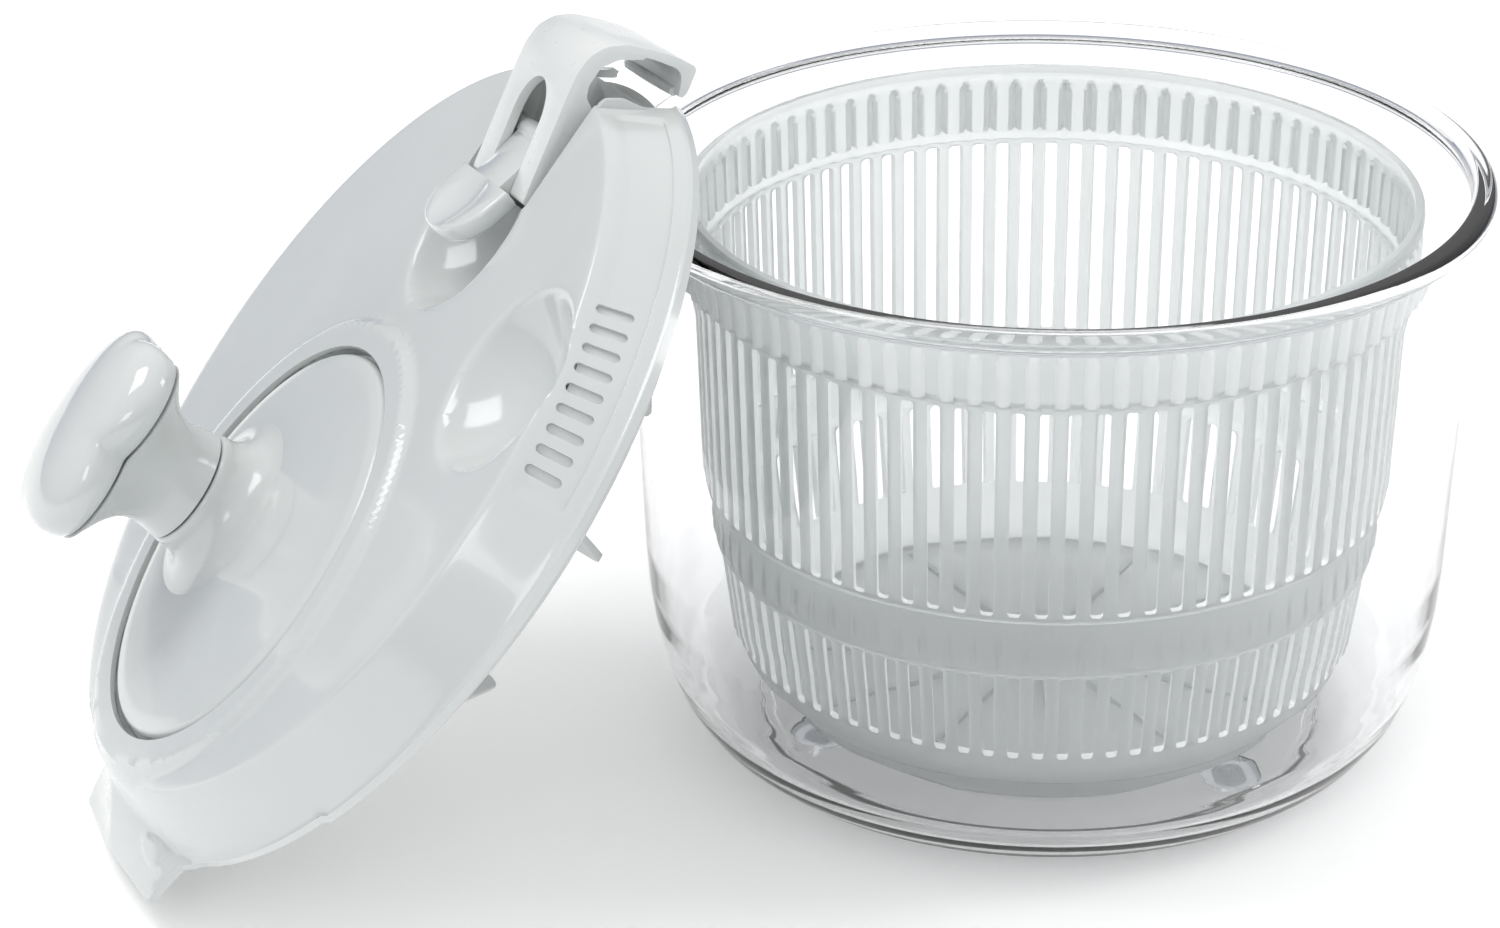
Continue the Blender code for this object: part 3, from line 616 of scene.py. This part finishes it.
def build_crank():
    disc = [(0.0, 24.5), (40.0, 24.6), (56.2, 24.5), (59.8, 23.9), (60.9, 22.4), (60.9, 19.5), (58.8, 19.5),
            (58.8, 21.0), (57.6, 22.0), (45.4, 22.0), (45.4, 15.9), (42.8, 15.9), (42.8, 22.0), (0.0, 22.0)]
    body = lathe("crank_disc_body", disc, CRANK, [WHITE], "crank", "white_plastic", 1.4, 176, 5)
    hidden_by(body, "crank_disc")
    flare = [(0.0, 37.2), (13.6, 37.2), (14.2, 36.4), (15.2, 36.4), (15.8, 37.2), (16.6, 37.2), (17.3, 36.6),
             (17.5, 35.0)]
    for k in range(1, 15):
        t = k / 14
        flare.append((17.5 + 14.5 * t ** 1.9, 24.35 + 10.6 * (1 - t) ** 2.1))
    flare += [(30.0, 23.4), (12.2, 23.4), (12.2, 31.0), (0.0, 31.0)]
    at = (1.0, 27.0)
    post = made("crank_post", *ring_mesh(rounded(flare, 0.35, 2), 120, at), CRANK, [WHITE], "crank",
                "white_plastic")
    stubs = []
    for a in (-85.0, 14.0, 167.0):
        spot = (38.4 * math.cos(math.radians(a)), 38.4 * math.sin(math.radians(a)))
        stubs.append(ring_mesh([(1.7, 22.4), (1.7, 15.9), (4.0, 15.9), (4.0, 22.4)], 40, spot))
    made("crank_stubs", *together(stubs), CRANK, [WHITE], "crank", "white_plastic")
    return post


KNOB_POINTS = 144
KNOB_HALF = (31.4, 24.5)


def knob_ring(z, half_x, half_y, lobes, round_share=0.0):
    """One section of the knob. Four soft lobes with narrow valleys between them; a circle at its foot."""
    points = []
    for i in range(KNOB_POINTS):
        a = math.tau * i / KNOB_POINTS
        c, s = math.cos(a), math.sin(a)
        base = 1 / math.sqrt((c / half_x) ** 2 + (s / half_y) ** 2)
        wave = math.sqrt(math.sin(2 * a) ** 2 + 0.012)
        r = base * (1 + lobes * (wave - 0.64))
        points.append((r * c, r * s, z))
    return points


def build_knob():
    stem = []
    for z, a, b, lobes in ((37.7, 16.2, 16.2, 0), (38.0, 16.9, 16.9, 0), (40.0, 16.6, 16.6, 0),
                           (43.5, 16.0, 15.9, 0), (47.0, 15.9, 15.6, 0.01), (50.0, 16.8, 16.0, 0.03),
                           (53.0, 18.8, 17.2, 0.06), (56.0, 22.0, 18.8, 0.11), (58.5, 25.2, 20.6, 0.19),
                           (60.6, 28.2, 22.4, 0.26), (62.2, 30.4, 23.8, 0.31), (62.9, 31.3, 24.4, 0.33),
                           (63.2, 30.8, 23.9, 0.33)):
        stem.append(knob_ring(z, a, b, lobes))
    verts, faces = loft_mesh(stem)
    body = made("knob_stem_body", verts, faces, KNOB, [WHITE], "knob", "white_plastic")
    boolean(body, [cutter(*ring_mesh([(0, 70), (7.2, 70), (7.2, 58.3), (4.2, 58.3), (4.2, 30), (0, 30)], 64),
                          KNOB)])
    hidden_by(body, "knob_stem")
    cap = []
    levels = ((63.9, 0.97, 0.33), (64.2, 1.0, 0.33), (65.6, 1.028, 0.31), (67.6, 1.045, 0.28),
              (69.6, 1.046, 0.245), (71.4, 1.03, 0.21), (73.0, 0.995, 0.17), (74.4, 0.94, 0.135),
              (75.6, 0.865, 0.10), (76.6, 0.775, 0.08), (77.4, 0.67, 0.06), (78.05, 0.55, 0.04),
              (78.5, 0.42, 0.03), (78.8, 0.28, 0.02), (78.95, 0.13, 0.0), (79.0, 0.02, 0.0))
    for z, share, lobes in levels:
        cap.append(knob_ring(z, KNOB_HALF[0] * share, KNOB_HALF[1] * share, lobes))
    top = made("knob_cap_body", *loft_mesh(cap), KNOB, [GLOSS], "knob", "gloss_white_plastic", 50)
    hidden_by(top, "knob_cap")


def build_drive():
    plate = [(0.0, -7.6), (87.4, -7.6), (88.0, -8.2), (88.0, -9.8), (87.4, -10.2), (40.0, -10.2),
             (39.2, -9.7), (34.8, -9.7), (34.0, -10.2), (0.0, -10.2)]
    body = made("drive_plate_body", *ring_mesh(rounded(plate, 0.4, 2), 144), LID, [INNER], "drive",
                "white_plastic")
    square = prism_mesh([(-4.3, -4.3), (4.3, -4.3), (4.3, 4.3), (-4.3, 4.3)], -14, 0)
    boolean(body, [cutter(*square, LID)])
    hidden_by(body, "drive_plate")
    fin = [(58.0, -8.6), (58.0, -12.4), (59.4, -37.8), (60.8, -40.0), (62.4, -40.0), (90.8, -15.4),
           (91.0, -11.6), (90.2, -9.2), (86.0, -8.6)]
    parts = []
    for i in range(8):
        v, f = prism_mesh(rounded(fin, 1.6, 4), -1.3, 1.3, True)
        parts.append((turned_about(v, -34.0 - 45.0 * i), f))
    fins = made("drive_fins", *together(parts), LID, [INNER], "drive", "white_plastic")
    bevel(fins, 0.45, 3)
    settle(fins)


# ---------------------------------------------------------------- clip and lever


def offset(points, dx, dz):
    return [(x - dx, z - dz) for x, z in points]


def build_clip():
    px, pz = CLIP_PIN
    side = [(80.2, 22.6), (112.0, 22.9), (119.0, 22.7), (124.6, 21.2), (128.8, 17.6), (131.2, 12.4),
            (132.6, 4.0), (133.2, -2.0), (132.8, -8.4), (131.6, -9.2), (125.0, -9.2), (123.4, -8.4),
            (123.4, -7.2), (126.4, -6.6), (129.2, -5.6), (130.4, -3.6), (130.2, 4.0), (129.0, 11.4),
            (126.6, 16.0), (123.2, 19.0), (118.6, 20.2), (112.0, 20.2), (80.2, 20.0)]
    hood = made("clip_body", *prism_mesh(rounded(offset(side, px, pz), 1.6, 3), -23, 23, True), CLIP, [SATIN],
                "clip", "white_plastic")
    leg = [(80.2, 21.6), (80.2, 12.8), (82.0, 11.0), (88.0, 11.0), (97.0, 12.2), (106.0, 12.6), (111.0, 14.2),
           (113.6, 17.4), (117.0, 18.2), (122.6, 17.0), (126.6, 13.0), (129.2, 6.2), (130.6, 6.2),
           (130.2, 12.4), (127.4, 17.8), (123.6, 20.6), (118.6, 21.6)]
    legs = [cutter(*prism_mesh(rounded(offset(leg, px, pz), 0.8, 2), -1.25, 1.25, True, y * 21.7), CLIP)
            for y in (-1, 1)]
    boolean(hood, legs, "UNION")
    arch = [(70.0, -11.2)] + [(101.5 + 11.5 * math.cos(math.radians(a)), 11.2 * math.sin(math.radians(a)))
            for a in range(-90, 91, 9)] + [(70.0, 11.2)]
    window = cutter(*prism_mesh([(x - px, y) for x, y in arch], 1.0, 12.0), CLIP)
    holes = [cutter(*prism_mesh(superellipse(1.75, 1.75, 2, 32), -30, 30, True), CLIP),
             cutter(*prism_mesh([(PIN_STEP[0] + x, PIN_STEP[1] + z)
                                 for x, z in superellipse(1.6, 1.6, 2, 32)], -30, 30, True),
                    CLIP)]
    boolean(hood, [window] + holes)
    bevel(hood, 0.55, 3, 40)
    settle(hood)
    hidden_by(hood, "clip_frame")
    bead = []
    for k in range(9):
        t = -1 + k / 4
        bead.append([(39.9 + 1.5 * math.cos(a) * (1 - 0.2 * t * t), t * 19.0,
                      -22.5 + 1.5 * math.sin(a) * (1 - 0.2 * t * t))
                     for a in np.arange(16) * math.tau / 16])
    made("clip_hook_bead", *loft_mesh(bead), CLIP, [SATIN], "clip", "white_plastic")


PAD_BACK, PAD_MIDDLE, PAD_REACH, PAD_HALF = -18.8, -24.8, 14.6, 19.4
DISH_R, DISH_Z, DISH_X = 36.0, 36.9, -28.6


def pad_outline(inset, count=60):
    """Thumb pad seen from above: a round front and a straight back with square shoulders."""
    back, half = PAD_BACK - 0.3 * inset, PAD_HALF - inset
    outline = [(back, -half), (back, half)]
    for k in range(count + 1):
        t = math.pi * (0.5 + k / count)
        outline.append((PAD_MIDDLE - (PAD_REACH - inset) * abs(math.cos(t)) ** 0.87,
                        math.copysign(half * abs(math.sin(t)) ** 0.87, math.sin(t))))
    return outline


def build_lever():
    lx, lz = LEVER_PIN
    rings = [[(x, y, z) for x, y in pad_outline(inset)] for z, inset in (
        (-3.7, 3.4), (-3.6, 2.6), (-3.2, 1.3), (-2.2, 0.4), (-0.8, 0.0), (1.4, 0.0), (2.1, 0.25), (2.5, 0.8),
        (2.6, 1.6))]
    pad = made("lever_body", *loft_mesh(rings), LEVER, [GLOSS], "lever", "gloss_white_plastic")
    neck = [(72.0, 13.6), (93.6, 13.4), (96.0, 12.6), (103.6, 10.2), (105.2, 11.0), (104.6, 12.6),
            (100.0, 16.6), (98.6, 18.8), (93.0, 18.2), (84.0, 17.4), (72.0, 17.2)]
    more = [cutter(*prism_mesh(rounded(offset(neck, lx, lz), 1.0, 3), -10.8, 10.8, True), LEVER),
            cutter(*prism_mesh(superellipse(3.4, 3.4, 2, 40), -19.6, 19.6, True), LEVER)]
    boolean(pad, more, "UNION")
    ball = [(DISH_R * math.sin(math.radians(2.0 * k)), DISH_Z - DISH_R * math.cos(math.radians(2.0 * k)))
            for k in range(17)]
    dish = [(0.0, 12.0), (ball[-1][0], 12.0)] + ball[::-1]
    cuts = [cutter(*ring_mesh(dish, 96, (DISH_X, 0.0)), LEVER),
            cutter(*prism_mesh(superellipse(1.65, 1.65, 2, 32), -30, 30, True), LEVER)]
    boolean(pad, cuts)
    bevel(pad, 0.35, 2, 40)
    settle(pad, 40)
    hidden_by(pad, "thumb_lever")


# ---------------------------------------------------------------- studio


def soft_light(name, place, target, size, watts, colour=(1, 1, 1)):
    data = bpy.data.lights.new(name, "AREA")
    data.shape = "RECTANGLE"
    data.size, data.size_y = size
    data.energy = watts
    data.color = colour
    obj = bpy.data.objects.new(name, data)
    bpy.context.scene.collection.objects.link(obj)
    obj.location = place
    obj.rotation_euler = (Vector(target) - Vector(place)).to_track_quat("-Z", "Y").to_euler()
    return obj


def build_studio():
    scene = bpy.context.scene
    scene.view_settings.view_transform = "Standard"
    scene.view_settings.look = "None"
    scene.view_settings.exposure = 0.0
    world = bpy.data.worlds.new("studio")
    scene.world = world
    world.use_nodes = True
    nodes, links = world.node_tree.nodes, world.node_tree.links
    back = nodes["Background"]
    coords = nodes.new("ShaderNodeTexCoord")
    split = nodes.new("ShaderNodeSeparateXYZ")
    ramp = nodes.new("ShaderNodeValToRGB")
    links.new(coords.outputs["Generated"], split.inputs["Vector"])
    links.new(split.outputs["Z"], ramp.inputs["Fac"])
    links.new(ramp.outputs["Color"], back.inputs["Color"])
    ramp.color_ramp.elements[0].position = 0.0
    ramp.color_ramp.elements[0].color = (0.20, 0.23, 0.33, 1)
    ramp.color_ramp.elements[1].position = 1.0
    ramp.color_ramp.elements[1].color = (1, 1, 1, 1)
    for spot, tone in ((0.20, 0.55), (0.42, 0.72), (0.56, 1.0)):
        stop = ramp.color_ramp.elements.new(spot)
        stop.color = (tone, tone, tone * 1.01, 1)
    back.inputs["Strength"].default_value = 1.0
    floor_mat = moulded("studio_floor", (0.93, 0.93, 0.93), (0.925, 0.925, 0.925), (0.6, 0.7),
                        grain=(400.0, 0.0), wave=(8.0, 0.0))
    glowing(floor_mat, (1, 1, 1), 0.2)
    mesh = bpy.data.meshes.new("floor")
    mesh.from_pydata([(-6, -6, 0), (6, -6, 0), (6, 6, 0), (-6, 6, 0)], [], [(0, 1, 2, 3)])
    mesh.materials.append(floor_mat)
    floor = bpy.data.objects.new("floor", mesh)
    scene.collection.objects.link(floor)
    soft_light("key", (-0.7, 0.3, 1.5), (0.0, 0.0, 0.1), (0.7, 0.7), 7)
    soft_light("right", (1.3, -0.4, 0.9), (0.05, 0.0, 0.1), (0.35, 1.0), 5)
    soft_light("front", (-0.9, -1.3, 0.9), (0.0, 0.0, 0.1), (0.5, 0.4), 2)
    camera = bpy.data.cameras.new("camera")
    camera.sensor_width = 36.0
    camera.lens = 4084 / 1500 * 36.0
    eye = Vector((-0.279, -1.026, 0.594))
    obj = bpy.data.objects.new("camera", camera)
    scene.collection.objects.link(obj)
    look = Vector((0.0015, 0.0224, 0.0817)) - eye
    turn = look.to_track_quat("-Z", "Y").to_matrix().to_4x4()
    obj.matrix_world = Matrix.Translation(eye) @ turn @ Matrix.Rotation(math.radians(-0.35), 4, "Z")
    scene.camera = obj


def finish_cad_nodes():
    finishes = {"cover_screw": STEEL, "crank_screw": STEEL, "drive_screw": STEEL, "knob_axle": STEEL,
                "lever_pin": STEEL, "clip_pin": SATIN, "ring_gear": INNER, "drive_pinion": ACETAL}
    for name, obj in frame["nodes"].items():
        for start, mat in finishes.items():
            if name.startswith(start):
                obj.data.materials.clear()
                obj.data.materials.append(mat)


build_bowl()
build_basket()
build_lid()
build_cover()
build_crank()
build_knob()
build_drive()
build_clip()
build_lever()
finish_cad_nodes()
build_studio()
